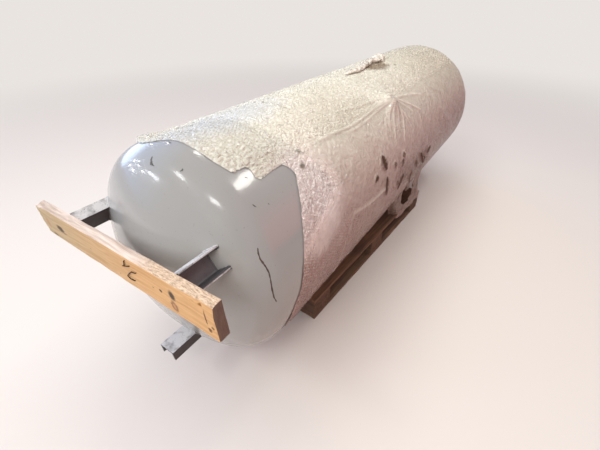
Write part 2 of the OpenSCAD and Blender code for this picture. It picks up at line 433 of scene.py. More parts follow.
inner, half, taper = channel_h / 2 - flange_t, channel_h / 2, 0.001
weld_r, weld_step, weld_out = 0.0030, 0.0035, 0.001
outline = [(-half, 0), (half, 0), (half, channel_b), (inner + taper, channel_b),
           (inner - taper, web_t), (-inner + taper, web_t), (-inner - taper, channel_b),
           (-half, channel_b)]
for name, turn in leg_turns.items():
    angle = math.radians(turn)
    radial = Vector((0, math.cos(angle), math.sin(angle)))
    tangential = Vector((0, -math.sin(angle), math.cos(angle)))
    bead, sizes = [], []
    for i, (a, b) in enumerate(outline):
        c, d = outline[(i + 1) % len(outline)]
        steps = max(2, round(math.dist((a, b), (c, d)) / weld_step))
        for k in range(steps):
            along, out = a + (c - a) * k / steps, b + (d - b) * k / steps + web_back
            depth = head_depth(math.hypot(along, out)) + weld_out
            bead.append(axis + radial * out + tangential * along - Vector((depth, 0, 0)))
            ripple = 0.0006 * math.sin(len(bead) * 1.9) + 0.0003 * math.sin(len(bead))
            sizes.append(weld_r + ripple)
    weld = mesh_piece(f"weld_{name}", *tube_points(bead, sizes, 7, closed=True), leg_paints[name])
    settle(close_doubles(weld), "leg_steel")

# ---- Socket ----
# A turned steel pipe socket let into the shell and welded, closed by a hexagonal transit plug.
# The film is drawn tight over it, so it shows only as the point of the tent.
repaint("socket", enamel.copy())

# ---- Plank ----
# One length of sawn pine board, nailed up as a fender over the ends of the two upper legs. Its
# front face is planed and orange, its edges and top rough and grey, its sawn ends dark.
plank_l, plank_w, plank_t = 0.975, 0.125, 0.036
plank_middle = axis + Vector((-0.265 - plank_t / 2, 0.034, 0.152))
plank_slope = math.radians(-3.4)
plank_place = Matrix.Translation(plank_middle) @ Matrix.Rotation(plank_slope, 4, "X")


def timber(name, size, place, material, rounding, step, wear, seed, shape=None):
    """Makes a board or block as a fine box with worn arrises; shape may move its points more."""
    halves = [s / 2 for s in size]
    lines = []
    for h in halves:
        count = max(1, round(2 * (h - rounding) / step))
        inside = np.linspace(-(h - rounding), h - rounding, count + 1)
        near_arris = h - 0.35 * rounding
        lines.append(np.concatenate([[-h, -near_arris], inside, [near_arris, h]]))
    rng = np.random.default_rng(seed)
    phases = rng.uniform(0, 2 * math.pi, (3, 5))
    scales = rng.uniform(12, 70, (3, 5))
    points, faces = [], []
    for fixed in range(3):
        u, v = (fixed + 1) % 3, (fixed + 2) % 3
        for side in (-1, 1):
            base, rows, columns = len(points), len(lines[u]), len(lines[v])
            for a in lines[u]:
                for b in lines[v]:
                    p = [0.0, 0.0, 0.0]
                    p[fixed], p[u], p[v] = side * halves[fixed], a, b
                    core = [max(-(h - rounding), min(h - rounding, c)) for c, h in zip(p, halves)]
                    gap = math.dist(p, core)
                    p = [c + (q - c) * rounding / gap for c, q in zip(core, p)]
                    points.append(p)
            for f in grid_faces(rows, columns):
                faces.append(tuple(base + k for k in (f if side < 0 else f[::-1])))
    points = np.array(points)
    ripple = sum(np.sin(points @ scales[:, k] + phases[0, k]) for k in range(5))[:, None]
    points = points + np.sign(np.round(points, 4)) * ripple * wear * 0.3
    if shape:
        points = shape(points)
    points = [place @ Vector(p) for p in points]
    points = [(p.x, p.y, max(p.z, 0.0)) for p in points]
    return close_doubles(mesh_piece(name, points, faces, material), 1e-5)


def worn_plank(points):
    """Breaks the plank's top right arris and softens its left end, as they are on the real one."""
    x, y, z = points.T.copy()
    rough = np.sin(y * 310) * np.sin(y * 127 + 1) + 0.4 * np.sin(y * 611)
    broken = np.clip((-y - 0.355) / 0.05, 0, 1) * np.clip((z - 0.03) / 0.028, 0, 1)
    broken = broken * np.clip(-x / 0.019, 0, 1)
    z = z - broken * (0.006 + 0.0025 * rough)
    x = x + broken * (0.005 + 0.002 * rough)
    split = np.clip((y - 0.42) / 0.04, 0, 1)
    z = z - split * np.clip(z / 0.058, 0, 1) * (0.004 + 0.003 * np.sin(x * 700))
    y = y - split * (0.003 * np.sin(z * 260 + 1) + 0.002 * np.sin(z * 90))
    return np.stack([x, y, z], -1)


# Pine: pale early wood and orange resinous late wood in long streaks, 4 to 12 mm apart, round
# dark dead knots. The grain runs along the plank, so its coordinates are stretched that way.
pine, tree, shader, place = start_finish("sawn_pine_board", Roughness=0.72)
local = add(tree, "ShaderNodeMapping", {"Vector": place, "Location": -plank_middle})
local = add(tree, "ShaderNodeMapping", {"Vector": local, "Rotation": (-plank_slope, 0, 0)})
bend = add(tree, "ShaderNodeTexNoise", {"Vector": local, "Scale": 4.0, "Detail": 2.0})
bent = add(
    tree, "ShaderNodeMix", {0: 0.035, 4: local, 5: bend.node.outputs["Color"]}, data_type="VECTOR"
)
streak, fibre, torn_grain, end_rings = (
    add(
        tree,
        "ShaderNodeTexNoise",
        {
            "Vector": add(tree, "ShaderNodeMapping", {"Vector": where, "Scale": stretch}),
            "Scale": scale,
            "Detail": detail,
            "Roughness": roughness,
        },
    )
    for where, stretch, scale, detail, roughness in (
        (bent, (60.0, 2.2, 60.0), 1.6, 5.0, 0.6),
        (local, (400.0, 14.0, 400.0), 1.0, 3.0, 0.5),
        (local, (240.0, 60.0, 240.0), 1.0, 4.0, 0.7),
        (local, (160.0, 1.0, 34.0), 1.0, 2.0, 0.5),
    )
)
lengthways = add(tree, "ShaderNodeSeparateXYZ", {0: local}).node.outputs[1]
normal = add(tree, "ShaderNodeNewGeometry").node.outputs["Normal"]
forward, sideways, _ = add(tree, "ShaderNodeSeparateXYZ", {0: normal}).node.outputs
endways = add(tree, "ShaderNodeMath", {0: sideways}, operation="ABSOLUTE")
to_left, is_late, is_grey, is_ragged, is_torn, off_front, at_end = (
    add(tree, "ShaderNodeMapRange", {"Value": value, "From Min": low, "From Max": high})
    for value, low, high in (
        (lengthways, -0.2, 0.44), (streak, 0.4, 0.66), (streak, 0.35, 0.62),
        (torn_grain, 0.30, 0.66), (lengthways, -0.14, -0.24), (forward, -0.75, -0.45),
        (endways, 0.6, 0.8),
    )
)
early, late, rough_top, torn, end_grain = (
    add(tree, "ShaderNodeMix", {0: share, 6: linear(one), 7: linear(other)}, data_type="RGBA")
    for share, one, other in (
        (to_left, "#E4B886", "#C7B492"), (to_left, "#CE9D6A", "#B6A07D"),
        (is_grey, "#E6D3C6", "#B39D8C"), (is_ragged, "#97785F", "#EBD2B6"),
        (end_rings, "#5A4238", "#8A7062"),
    )
)
front = add(tree, "ShaderNodeMix", {0: is_late, 6: early, 7: late}, data_type="RGBA")
# Dead knots and nail holes, each an ellipse of the front face: place along and up it, half
# length and half height in metres, colour and strength.
knots = [
    (-0.325, 0.018, 0.013, 0.017, "#43362F", 0.95),
    (-0.320, -0.027, 0.013, 0.020, "#5F3B28", 0.95),
    (-0.320, -0.027, 0.008, 0.014, "#CF9A74", 0.9),
    (-0.271, 0.006, 0.0065, 0.006, "#4A3422", 1.0),
    (-0.454, 0.010, 0.0035, 0.024, "#6B4420", 0.9),
    (-0.459, -0.032, 0.007, 0.008, "#5E3E1C", 0.95),
    (-0.4735, -0.016, 0.006, 0.006, "#6B4A26", 0.9),
    (0.332, 0.001, 0.026, 0.015, "#54443A", 0.95),
    (0.312, 0.006, 0.014, 0.004, "#8A6A4C", 0.7),
    (0.420, -0.028, 0.016, 0.005, "#6E5A3A", 0.8),
    (0.395, -0.042, 0.014, 0.005, "#6E5A3A", 0.8),
    (0.440, 0.016, 0.012, 0.022, "#B98A66", 0.7),
    (-0.440, 0.046, 0.007, 0.004, "#8A5A26", 0.9),
    (-0.205, 0.012, 0.004, 0.003, "#7A5A34", 0.8),
    (-0.025, -0.018, 0.004, 0.003, "#8A6A44", 0.7),
    (0.130, 0.010, 0.005, 0.003, "#8A6A44", 0.6),
]
faint_knot = 0.85
for along, up, half_l, half_h, colour, strength in knots:
    spot = add(
        tree,
        "ShaderNodeMapping",
        {
            "Vector": bent if strength < faint_knot else local,
            "Location": (0, -along / half_l, -up / half_h),
            "Scale": (0.0, 1 / half_l, 1 / half_h),
        },
    )
    off = add(tree, "ShaderNodeVectorMath", {0: spot}, operation="LENGTH")
    ragged = add(tree, "ShaderNodeMath", {0: off, 1: fibre}, operation="ADD")
    inside = add(
        tree,
        "ShaderNodeMapRange",
        {"Value": ragged, "From Min": 1.15, "From Max": 1.75, "To Min": strength, "To Max": 0.0},
    )
    front = add(tree, "ShaderNodeMix", {0: inside, 6: front, 7: linear(colour)}, data_type="RGBA")
top = add(tree, "ShaderNodeMix", {0: is_torn, 6: rough_top, 7: torn}, data_type="RGBA")
board = add(tree, "ShaderNodeMix", {0: off_front, 6: front, 7: top}, data_type="RGBA")
board = add(tree, "ShaderNodeMix", {0: at_end, 6: board, 7: end_grain}, data_type="RGBA")
grain = add(tree, "ShaderNodeMath", {0: streak, 1: fibre}, operation="ADD")
relief = add(tree, "ShaderNodeBump", {"Height": grain, "Strength": 0.6, "Distance": 0.0012})
lay_on(shader, Base_Color=board, Normal=relief)
plank = timber(
    "plank_board", (plank_t, plank_l, plank_w), plank_place, pine, rounding=0.0025, step=0.009,
    wear=0.0006, seed=5, shape=worn_plank,
)
settle(plank, "plank_pine", "plank")

# Two old fencing staples, bent over and left in the plank's front face: iron wire, 3 mm thick.
iron = mottled("rusty_iron_wire", 300.0, "#33261E", "#5A4232", Metallic=0.6, Roughness=0.65)
wire_r = 0.0016
staple_wires = [
    [(0.004, -0.123, 0.051), (-0.003, -0.122, 0.050), (-0.0035, -0.112, 0.030),
     (-0.003, -0.097, 0.021), (-0.003, -0.118, 0.028), (-0.0025, -0.139, 0.037),
     (0.004, -0.140, 0.038)],
    [(0.004, -0.164, 0.021), (-0.003, -0.162, 0.021), (-0.0035, -0.140, 0.017),
     (-0.003, -0.112, -0.006), (-0.003, -0.101, -0.017), (-0.003, -0.112, -0.024),
     (-0.002, -0.134, -0.023), (0.004, -0.136, -0.023)],
]
for number, wire in enumerate(staple_wires, 1):
    path = [plank_place @ Vector((x - plank_t / 2, y, z)) for x, y, z in wire]
    tube = tube_points(path, [wire_r] * len(path), 8)
    settle(close_doubles(mesh_piece(f"plank_staple_{number}", *tube, iron)), "leg_steel")

# ---- Bubble film ----
# Clear polythene bubble film, bubbles 11 mm across, wound twice round the vessel, drawn over the
# socket as a tent and folded over the far head. Its near edge is torn to an uneven line and the
# film lies in one layer there, so the grey enamel shows through.
deck_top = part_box("deck_board_1")[1][2]
pallet_low_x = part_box("deck_board_3")[0][0] - tangent_x
pallet_high_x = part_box("deck_board_3")[1][0] - tangent_x
apex_run, apex_turn = 1.104, 128.3
socket_top = 0.0365


def near_line(run, turn, path):
    """Distance on the unrolled vessel from points to a path of runs and turns, and how far along
    the path the nearest place is, from 0 to 1."""
    here = np.stack(np.broadcast_arrays(run, np.radians(turn) * shell_r), -1)
    stops = np.array([(x, math.radians(a) * shell_r) for x, a in path])
    lengths = np.concatenate([[0], np.cumsum(np.linalg.norm(np.diff(stops, axis=0), axis=1))])
    gap, share = np.full(here.shape[:-1], 9.0), np.zeros(here.shape[:-1])
    for i, (a, b) in enumerate(zip(stops, stops[1:])):
        part = np.clip(((here - a) @ (b - a)) / ((b - a) @ (b - a)), 0, 1)
        off = np.linalg.norm(here - a - part[..., None] * (b - a), axis=-1)
        nearer = off < gap
        gap = np.where(nearer, off, gap)
        share = np.where(nearer, (lengths[i] + part * (lengths[i + 1] - lengths[i])), share)
    return gap, share / lengths[-1]


# Creases of the drawn film: path of runs and turns, height at its two ends, half width.
creases = [
    ([(1.085, 127.4), (0.925, 127.8), (0.827, 128.6), (0.710, 129.1), (0.602, 128.5),
      (0.535, 127.3), (0.444, 126.8)], 0.0085, 0.0030, 0.0055),
    ([(1.080, 128.8), (0.930, 129.9), (0.830, 131.0), (0.720, 131.7), (0.620, 131.4)],
     0.0065, 0.002, 0.0050),
    ([(1.080, 126.6), (0.990, 125.9), (0.880, 126.4), (0.760, 125.6)], 0.005, 0.002, 0.006),
    ([(1.096, 130.0), (1.040, 134.0), (0.998, 137.9), (0.975, 141.5), (0.958, 145.1)],
     0.0110, 0.0040, 0.0050),
    ([(1.110, 130.6), (1.066, 135.5), (1.026, 141.2), (0.984, 148.3), (0.965, 153.5)],
     0.0110, 0.0040, 0.0050),
    ([(1.085, 130.4), (1.010, 134.6), (0.940, 140.2), (0.890, 146.7)], 0.006, 0.002, 0.0055),
    ([(1.120, 131.4), (1.105, 137.2), (1.060, 146.0)], 0.0075, 0.002, 0.0050),
    ([(1.150, 138.0), (1.138, 142.2), (1.103, 148.7), (1.067, 155.9)], 0.0080, 0.003, 0.0055),
    ([(1.128, 131.2), (1.165, 137.5), (1.185, 145.0), (1.200, 152.0)], 0.006, 0.002, 0.0060),
    ([(1.130, 129.8), (1.179, 131.5), (1.224, 135.6), (1.291, 142.9)], 0.0090, 0.002, 0.0055),
    ([(1.135, 129.0), (1.210, 131.2), (1.286, 136.6), (1.401, 145.5)], 0.0080, 0.002, 0.0055),
    ([(1.140, 128.2), (1.260, 129.5), (1.400, 132.5), (1.520, 137.0)], 0.0060, 0.002, 0.0065),
    ([(1.080, 126.5), (1.018, 124.0), (0.915, 121.9), (0.776, 120.1), (0.665, 118.0)],
     0.004, 0.0015, 0.008),
    ([(1.125, 124.5), (1.175, 118.8), (1.215, 112.1)], 0.004, 0.0015, 0.008),
    ([(1.105, 124.0), (1.100, 114.0), (1.060, 104.0)], 0.0035, 0.0015, 0.008),
    ([(0.762, 173.2), (0.648, 172.9), (0.544, 171.4), (0.453, 169.0), (0.422, 173.5),
      (0.382, 179.8), (0.356, 187.9), (0.340, 200.0)], 0.004, 0.0045, 0.009),
    ([(0.321, 124.1), (0.318, 126.4), (0.333, 128.9)], 0.005, 0.004, 0.006),
    ([(0.275, 131.0), (0.280, 132.7), (0.300, 133.0)], 0.005, 0.004, 0.006),
    ([(0.075, 122.0), (0.110, 117.5), (0.180, 118.5), (0.235, 124.0)], 0.004, 0.004, 0.006),
    ([(0.480, 84.0), (0.500, 104.0), (0.496, 122.0), (0.470, 134.0)], 0.003, 0.002, 0.006),
]
# Slits and hollows where the film gapes: path, widths along it, and whether it is a dark one.
slits = [
    ([(0.785, 152.9), (0.787, 156.3), (0.791, 159.0), (0.793, 162.3)],
     [0.004, 0.022, 0.027, 0.020, 0.004], True),
    ([(0.794, 166.2), (0.790, 170.9), (0.783, 174.5), (0.786, 178.1)],
     [0.003, 0.015, 0.018, 0.014, 0.003], True),
    ([(0.705, 161.4), (0.686, 162.2), (0.670, 163.4)], [0.002, 0.012, 0.010, 0.002], True),
    ([(0.912, 162.8), (0.905, 164.2), (0.899, 166.0)], [0.004, 0.015, 0.012, 0.003], False),
    ([(1.035, 162.1), (1.007, 163.9)], [0.004, 0.014, 0.004], False),
    ([(1.012, 165.0), (0.992, 169.3)], [0.003, 0.010, 0.003], False),
    ([(1.289, 173.7), (1.330, 179.0), (1.375, 184.6)], [0.004, 0.016, 0.018, 0.006], True),
    ([(1.396, 180.4), (1.375, 184.6)], [0.004, 0.012, 0.006], True),
    ([(1.486, 176.3), (1.449, 178.4), (1.428, 180.1)], [0.003, 0.016, 0.014, 0.003], True),
    ([(1.207, 175.1), (1.226, 178.4), (1.262, 183.5)], [0.003, 0.012, 0.012, 0.003], False),
    ([(1.017, 175.8), (0.987, 178.2), (0.966, 180.8), (0.950, 184.0)],
     [0.003, 0.016, 0.020, 0.016, 0.004], True),
    ([(1.164, 181.6), (1.158, 186.2), (1.175, 190.6)], [0.003, 0.014, 0.014, 0.003], False),
]
far_creases = np.random.default_rng(11)
for _ in range(30):
    start, turn = far_creases.uniform(1.62, 2.42), far_creases.uniform(0, 350)
    bend_run = start + far_creases.uniform(0.02, 0.07)
    end_run, end_turn = start + far_creases.uniform(0.08, 0.16), turn + far_creases.uniform(16, 26)
    path = [(start, turn), (bend_run, turn + 9), (end_run, end_turn)]
    creases.append((path, 0.0045, 0.002, 0.010))
crumple_waves = np.random.default_rng(3)
crumples = [
    (crumple_waves.normal(0, 1), crumple_waves.normal(0, 1), size, crumple_waves.uniform(0, 6.28))
    for size in (0.26, 0.21, 0.17, 0.14, 0.115, 0.1, 0.085, 0.07, 0.06, 0.052, 0.045, 0.04)
]


def crumple(run, turn, finest=0.0):
    """Uneven folds of slack film, a value about 0 to 1, from sharp-backed waves of many sizes."""
    angle = np.radians(turn)
    bent = run + 0.03 * np.sin(2 * angle + 5 * run) + 0.012 * np.sin(7 * angle - 11 * run)
    total, weight = 0.0, 0.0
    for across, around, size, phase in crumples:
        if size < finest:
            continue
        length = math.hypot(across, around)
        turns = round(2 * math.pi * shell_r / size * around / length)
        wave = bent * 2 * math.pi / size * across / length + turns * angle + phase
        total = total + size * (1 - np.abs(np.sin(wave + 0.8 * np.sin(3 * wave / 7)))) ** 2
        weight += size
    return total / weight


def room_under(run, turn, radius):
    """How far the film can stand off the steel before it meets the pallet's deck."""
    x = meridian(run)[0]
    over = np.clip((x - pallet_low_x) / 0.05, 0, 1) * np.clip((pallet_high_x - x) / 0.05, 0, 1)
    down = np.maximum(-np.sin(np.radians(turn)), 0.2)
    free = (axis_z - deck_top) / down - radius
    return np.where(over > 0, free + (1 - over) * 0.03, 1.0)


def film_lift(run, turn):
    """Height of the film over the steel: slack folds, creases and the tent over the socket."""
    run, turn = np.broadcast_arrays(np.asarray(run, float), np.asarray(turn, float))
    lift = 0.0015 + 0.0055 * crumple(run, turn)
    # Slack behind the notch in the near edge, and a corner that stands up left of the ridge
    slack = np.exp(-(((run - 0.24) / 0.13) ** 2)) * np.exp(-(((turn - 146) / 12) ** 2))
    lift = lift + 0.018 * slack * crumple(run * 3.7 + 0.2, turn * 4.0)
    corner = np.exp(-(((run - 0.03) / 0.05) ** 2)) * np.exp(-(((turn - 60) / 8) ** 2))
    lift = lift + 0.017 * corner
    # Pleats that run together over the far head
    beyond = np.clip((run - shell_l - 0.10) / 0.30, 0, 1)
    pleats = np.abs(np.sin(np.radians(turn) * 9 + 2 * np.sin(np.radians(turn) * 2 + 9 * run)))
    lift = lift + 0.005 * beyond * (1 - pleats) ** 1.5 * (1 - np.clip((beyond - 0.8) * 5, 0, 1))
    for path, first, last, width in creases:
        gap, share = near_line(run, turn, path)
        height = first + (last - first) * share
        lift = lift + 0.75 * height * np.exp(-((gap / width) ** 2))
    for path, widths, _ in slits:
        gap, share = near_line(run, turn, path)
        half = np.interp(share, np.linspace(0, 1, len(widths)), widths) / 2 + 0.002
        lift = lift + 0.0045 * np.exp(-(((gap - 1.5 * half) / (0.7 * half)) ** 2))
    away = np.hypot(run - apex_run, np.radians(turn - apex_turn) * shell_r)
    tent = np.where(away < 0.022, 1.0, np.exp(-(away - 0.022) / 0.043))
    lift = np.maximum(lift, 0.0015) * (1 - tent) + socket_top * tent
    return lift


# The torn near edge of the bubble film, and that of the laps over it: turn and run.
near_edge = [
    (-94, -0.010), (-80, -0.022), (-60, -0.006), (-40, 0.012), (-22, -0.014), (0, -0.010),
    (18, 0.016), (35, -0.004), (46, 0.022), (54, 0.030), (58, 0.022), (62, 0.004),
    (67, -0.022), (73.9, -0.040), (76.8, -0.039), (81.1, -0.033), (84.3, -0.019),
    (86.4, -0.009), (88.4, 0.001), (91.7, 0.008), (96.0, 0.009), (102.8, 0.009), (108, 0.008),
    (112.5, 0.010), (120.1, 0.026), (120.6, 0.078), (122.1, 0.089), (124.2, 0.086),
    (126.5, 0.081), (128.3, 0.094), (128.7, 0.199), (129.7, 0.211), (131.2, 0.223),
    (132.5, 0.229), (134.7, 0.230), (136.8, 0.215), (143.5, 0.183), (149.9, 0.153),
    (157.1, 0.127), (165.3, 0.101), (173.8, 0.077), (181.6, 0.061), (187.2, 0.035),
    (200, 0.012), (214, 0.024), (226, -0.004), (240, 0.016), (252, -0.012), (270, -0.010),
]
outer_edge = [
    (-94, 0.210), (-70, 0.235), (-50, 0.200), (-30, 0.226), (-10, 0.240), (12, 0.205),
    (30, 0.232), (55, 0.200), (75, 0.225), (85, 0.240), (95, 0.262), (105, 0.290),
    (115, 0.305), (122, 0.318), (127, 0.312), (131, 0.300), (135, 0.345), (141, 0.372),
    (149.3, 0.377), (151.7, 0.340), (153.5, 0.301), (155.6, 0.262), (158.4, 0.208),
    (160.5, 0.161), (162.5, 0.132), (165.3, 0.109), (171.4, 0.088), (178.0, 0.070),
    (187, 0.048), (200, 0.040), (214, 0.050), (226, 0.030), (240, 0.044), (252, 0.020),
    (270, 0.016),
]


def edge_run(edge, turn):
    """Where a sheet of film starts along the vessel at a turn, from its edge's list."""
    turns, runs = zip(*edge)
    return np.interp(turn, turns, runs)


def spaced(low, high, count, dense_low, dense_high, times):
    """Values from low to high that lie times as close together in the dense part."""
    fine = np.linspace(low, high, 4001)
    total = np.cumsum(np.where((fine > dense_low) & (fine < dense_high), times, 1.0))
    total = (total - total[0]) / (total[-1] - total[0])
    return np.interp(np.linspace(0, 1, count), total, fine)


def drawn_aside(run, turn):
    """Turn of a place of the film behind the notch in its near edge, which hangs over."""
    over = np.clip((run - 0.090) / 0.110, 0, 1) * (1 - np.clip((run - 0.21) / 0.15, 0, 1))
    return turn - 2.3 * over * np.exp(-(((turn - 128.4) / 5) ** 2))


def film_grid(edge, columns, rows, side_times, until, times):
    """Runs and turns of a sheet's grid up to the far pole: closer spaced on the right flank, and
    from its edge until a share of its length."""
    turns = spaced(-94.0, 270.0, columns, 84, 204, side_times)
    share = spaced(0.0, 1.0, rows, 0, until, times)
    first = edge_run(edge, turns)
    run = first[None, :] + (shell_l + head_run - 0.004 - first[None, :]) * share[:, None]
    return run, np.broadcast_to(turns, run.shape)


# Low-density polythene, blown and vacuum formed: colourless, but its two webs and the air in
# the bubbles scatter so much light that the layers look creamy white. The attribute cover says
# how much of what lies behind is hidden, and whitened how much a crease has whitened the film.
bubble_plastic, tree, shader, place = start_finish(
    "clear_polythene_bubble_film", IOR=1.51, Roughness=0.12
)
film_cloud = add(tree, "ShaderNodeTexNoise", {"Vector": place, "Scale": 3.2, "Detail": 5.0})
swirl = add(tree, "ShaderNodeTexNoise", {"Vector": place, "Scale": 13.0, "Detail": 2.0})
swirl_size = 0.055
warped = add(
    tree,
    "ShaderNodeVectorMath",
    {0: swirl.node.outputs["Color"], 1: [swirl_size] * 3, 2: place},
    operation="MULTIPLY_ADD",
)
# Between the bubbles of slack film lie worms of doubled film, white, and hollows painted grey as
# shade.
cells = add(
    tree, "ShaderNodeTexVoronoi", {"Vector": warped, "Scale": 38.0}, feature="DISTANCE_TO_EDGE"
)
normal = add(tree, "ShaderNodeNewGeometry").node.outputs["Normal"]
film_up = add(tree, "ShaderNodeSeparateXYZ", {0: normal}).node.outputs[2]
# Film that faces sideways gets a painted pinkish shade, and the hollows on top a painted grey
# shade.
side_shade, on_top, clouded, hollow_shade = (
    add(
        tree,
        "ShaderNodeMapRange",
        {"Value": value, "From Min": low, "From Max": high, "To Max": most},
    )
    for value, low, high, most in (
        (film_up, 0.86, 0.15, 1.0), (film_up, 0.50, 0.85, 1.0), (film_cloud, 0.5, 0.75, 0.4),
        (cells, 0.16, 0.04, 0.38),
    )
)
tints = [(side_shade, "#C2A099"), (clouded, "#CDBFAB")]
# Patches of another tone, each a ball of space by run, turn and radius, with its strength and
# colour: painted white glare in the slack corner, a painted bluish sheen along the left ridge,
# painted shade toward the far end and above the lap line, brown painted shade beside the fold,
# and grey specks.
patches = [
    (0.230, 144.0, 0.165, 1.0, "#FFF4F0"), (0.150, 160.0, 0.085, 0.60, "#F6E2DC"),
    (0.060, 87.0, 0.100, 0.65, "#E2E6EE"), (0.190, 88.0, 0.105, 0.65, "#E2E6EE"),
    (0.330, 88.0, 0.110, 0.60, "#E2E6EC"), (0.480, 87.0, 0.105, 0.45, "#E4E7EA"),
    (1.900, 100.0, 0.330, 0.50, "#D8CDBA"), (2.250, 110.0, 0.330, 0.50, "#D2C7B6"),
    (0.600, 121.5, 0.100, 0.45, "#D3CDBB"), (0.760, 122.5, 0.110, 0.45, "#D3CDBB"),
    (0.900, 124.2, 0.075, 0.45, "#D3CDBB"), (1.345, 95.6, 0.026, 0.50, "#AD987E"),
    (1.400, 95.4, 0.050, 0.85, "#927A60"), (1.445, 96.8, 0.060, 0.90, "#8A7158"),
    (1.495, 96.4, 0.060, 0.90, "#8A7158"), (1.535, 97.4, 0.040, 0.85, "#927A60"),
    (1.565, 100.6, 0.012, 0.9, "#75604B"), (1.566, 106.7, 0.010, 0.8, "#75604B"),
    (1.610, 103.5, 0.012, 0.9, "#75604B"), (1.527, 109.4, 0.010, 0.8, "#857260"),
    (1.410, 107.0, 0.010, 0.6, "#857260"), (0.318, 126.4, 0.010, 0.8, "#7C7460"),
    (0.306, 125.2, 0.008, 0.7, "#7C7460"), (0.278, 132.9, 0.010, 0.8, "#80735F"),
    (0.292, 131.4, 0.007, 0.7, "#80735F"), (0.700, 104.0, 0.010, 0.4, "#857260"),
]
for run, turn, size, strength, colour in patches:
    middle = [float(part) for part in on_vessel(run, turn, 0.010)]
    offset = add(tree, "ShaderNodeVectorMath", {0: place, 1: middle}, operation="DISTANCE")
    uneven = add(tree, "ShaderNodeMath", {0: offset, 1: film_cloud}, operation="MULTIPLY")
    inside = add(
        tree,
        "ShaderNodeMapRange",
        {"Value": uneven, "From Min": 0.25 * size, "From Max": 0.65 * size,
         "To Min": strength, "To Max": 0.0},
    )
    tints.append((inside, colour))
top_hollow = add(tree, "ShaderNodeMath", {0: hollow_shade, 1: on_top}, operation="MULTIPLY")
whitened, cover = (
    add(tree, "ShaderNodeAttribute", attribute_name=name).node.outputs["Fac"]
    for name in ("whitened", "cover")
)
# Tones laid on in turn: painted side shade, cloudy tone, the patches, painted hollow shade,
# whitened creases.
tone = linear("#F8F6E8")
for share, colour in (*tints, (top_hollow, "#CFCAB4"), (whitened, "#F8F1E4")):
    tone = add(tree, "ShaderNodeMix", {0: share, 6: tone, 7: linear(colour)}, data_type="RGBA")
fine = add(tree, "ShaderNodeTexNoise", {"Vector": warped, "Scale": 26.0, "Detail": 2.0})
relief = add(tree, "ShaderNodeBump", {"Height": cells, "Strength": 1.0, "Distance": 0.0085})
relief = add(
    tree,
    "ShaderNodeBump",
    {"Height": fine, "Strength": 1.0, "Distance": 0.0050, "Normal": relief},
)
lay_on(shader, Base_Color=tone, Alpha=cover, Normal=relief)


def under_laps(run, turn):
    """How far the film is covered by the outer laps at a place, from 0 to 1."""
    return np.clip((run - edge_run(outer_edge, turn) + 0.03) / 0.05, 0, 1)


film_runs, film_turns = film_grid(
    near_edge, columns=310, rows=170, side_times=1.4, until=0.14, times=3.4
)
film_layer = under_laps(film_runs, film_turns)
film_turns = drawn_aside(film_runs, film_turns)
film_height = film_lift(film_runs, film_turns)
film_room = room_under(film_runs, film_turns, meridian(film_runs)[1])
film_t = 0.0006
film_height = np.minimum(film_height, np.maximum(film_room * 0.45, film_t))
film_height = film_height + np.where(film_turns < -90, film_t, 0.0)
film_points = on_vessel(film_runs, film_turns, film_height).reshape(-1, 3)
bubble_film = mesh_piece("bubble_film", film_points, grid_faces(*film_runs.shape), bubble_plastic)
store(bubble_film, "cover", 0.66 + 0.30 * film_layer + 0.1 * crumple(film_runs, film_turns))
settle(bubble_film, "bubble_film", "wrap_sleeve", "wrap_far_end")

# The bubbles: low domes 11 mm across and 3.8 mm high, 13 mm apart in staggered rows. Folding
# pushes them off their places, and where the film is crushed many have burst.
bubble_pitch, bubble_radius, bubble_height = 0.0132, 0.0055, 0.0038


def dome_field_tree():
    """Node tree that sets one low dome on each point, turned to the point's facing."""
    tree = bpy.data.node_groups.new("bubble_field", "GeometryNodeTree")
    for name, kind in (
        ("Points", "Geometry"), ("Dome radius", "Float"), ("Dome height", "Float"),
        ("Film", "Material"),
    ):
        tree.interface.new_socket(name, in_out="INPUT", socket_type=f"NodeSocket{kind}")
    tree.interface.new_socket("Domes", in_out="OUTPUT", socket_type="NodeSocketGeometry")
    points, radius, height, film = add(tree, "NodeGroupInput").node.outputs[:4]
    dome = add(
        tree,
        "GeometryNodeMeshCone",
        {"Vertices": 6, "Radius Top": 0.0, "Radius Bottom": radius, "Depth": height},
        fill_type="NONE",
    )
    way, swell = (
        add(tree, "GeometryNodeInputNamedAttribute", {"Name": name}, data_type=kind)
        for name, kind in (("facing", "FLOAT_VECTOR"), ("swell", "FLOAT"))
    )
    turned = add(tree, "FunctionNodeAlignRotationToVector", {"Vector": way}, axis="Z")
    domes = add(
        tree,
        "GeometryNodeInstanceOnPoints",
        {"Points": points, "Instance": dome, "Rotation": turned, "Scale": swell},
    )
    domes = add(tree, "GeometryNodeRealizeInstances", {0: domes})
    domes = add(tree, "GeometryNodeSetShadeSmooth", {0: domes})
    domes = add(tree, "GeometryNodeSetMaterial", {0: domes, "Material": film})
    add(tree, "NodeGroupOutput", {0: domes})
    return tree


def grow(piece, tree, **inputs):
    """Runs a node tree on a piece with its named inputs, and keeps the result as a plain mesh."""
    modifier = piece.modifiers.new("made", "NODES")
    modifier.node_group = tree
    for item in tree.interface.items_tree:
        name = item.name.replace(" ", "_")
        if item.in_out == "INPUT" and name in inputs:
            modifier[item.identifier] = inputs[name]
    piece.update_tag()
    evaluated = piece.evaluated_get(bpy.context.evaluated_depsgraph_get())
    grown = bpy.data.meshes.new_from_object(evaluated)
    piece.modifiers.remove(modifier)
    piece.data = grown
    return piece


dome_tree = dome_field_tree()


